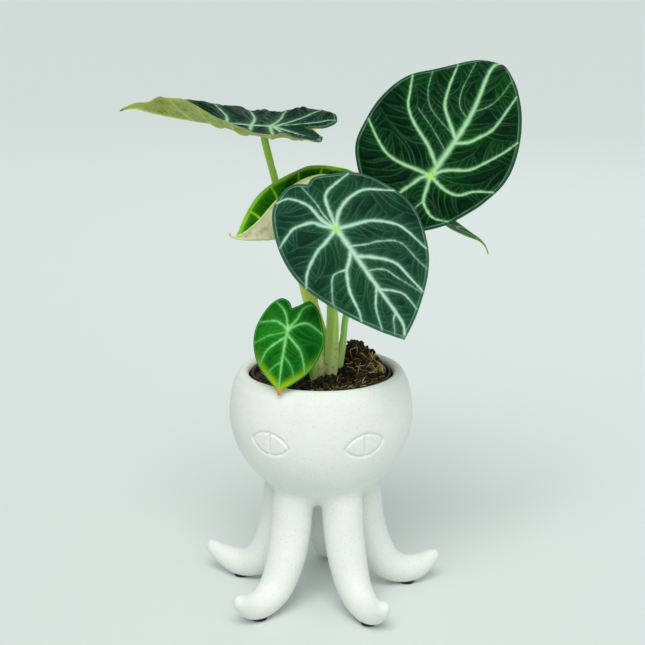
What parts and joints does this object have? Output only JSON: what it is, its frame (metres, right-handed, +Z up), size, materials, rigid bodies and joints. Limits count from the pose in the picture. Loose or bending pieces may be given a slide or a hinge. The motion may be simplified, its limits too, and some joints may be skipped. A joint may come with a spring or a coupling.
{
  "type": "potted alocasia",
  "caption": "Small velvet-leaved foliage plant with pale-veined heart-shaped blades, in a round off-white planter with engraved eyes, standing on tentacle legs.",
  "frame": {"origin": "middle of the underside of the whole object's box, on the surface it stands on", "axes": "+Z up; -Y is the side that the engraved eyes look to; +X is to the right of it seen from the front"},
  "size_m": [0.2144, 0.1266, 0.292],
  "materials": {
    "stoneware": "matt off-white stoneware with fine speckles",
    "felt": "black felt",
    "pot_plastic": "satin dark plastic",
    "soil": "rough peat and coir",
    "rhizome": "matt",
    "stalk": "smooth, slightly glossy",
    "blade": "velvety upper face with pale veins",
    "young_blade": "satin bright green with pale veins"
  },
  "bodies": {
    "root": {"planter": "stoneware", "foot_pad_1": "felt", "foot_pad_2": "felt", "foot_pad_3": "felt", "foot_pad_4": "felt", "foot_pad_5": "felt", "nursery_pot": "pot_plastic", "soil": "soil", "rhizome": "rhizome", "stalk_left": "stalk", "stalk_right": "stalk", "stalk_front": "stalk", "stalk_curled": "stalk", "stalk_back": "stalk", "stalk_young": "stalk", "blade_left": "blade", "blade_right": "blade", "blade_front": "blade", "blade_curled": "blade", "blade_back": "blade", "blade_young": "young_blade"}
  },
  "joints": []
}
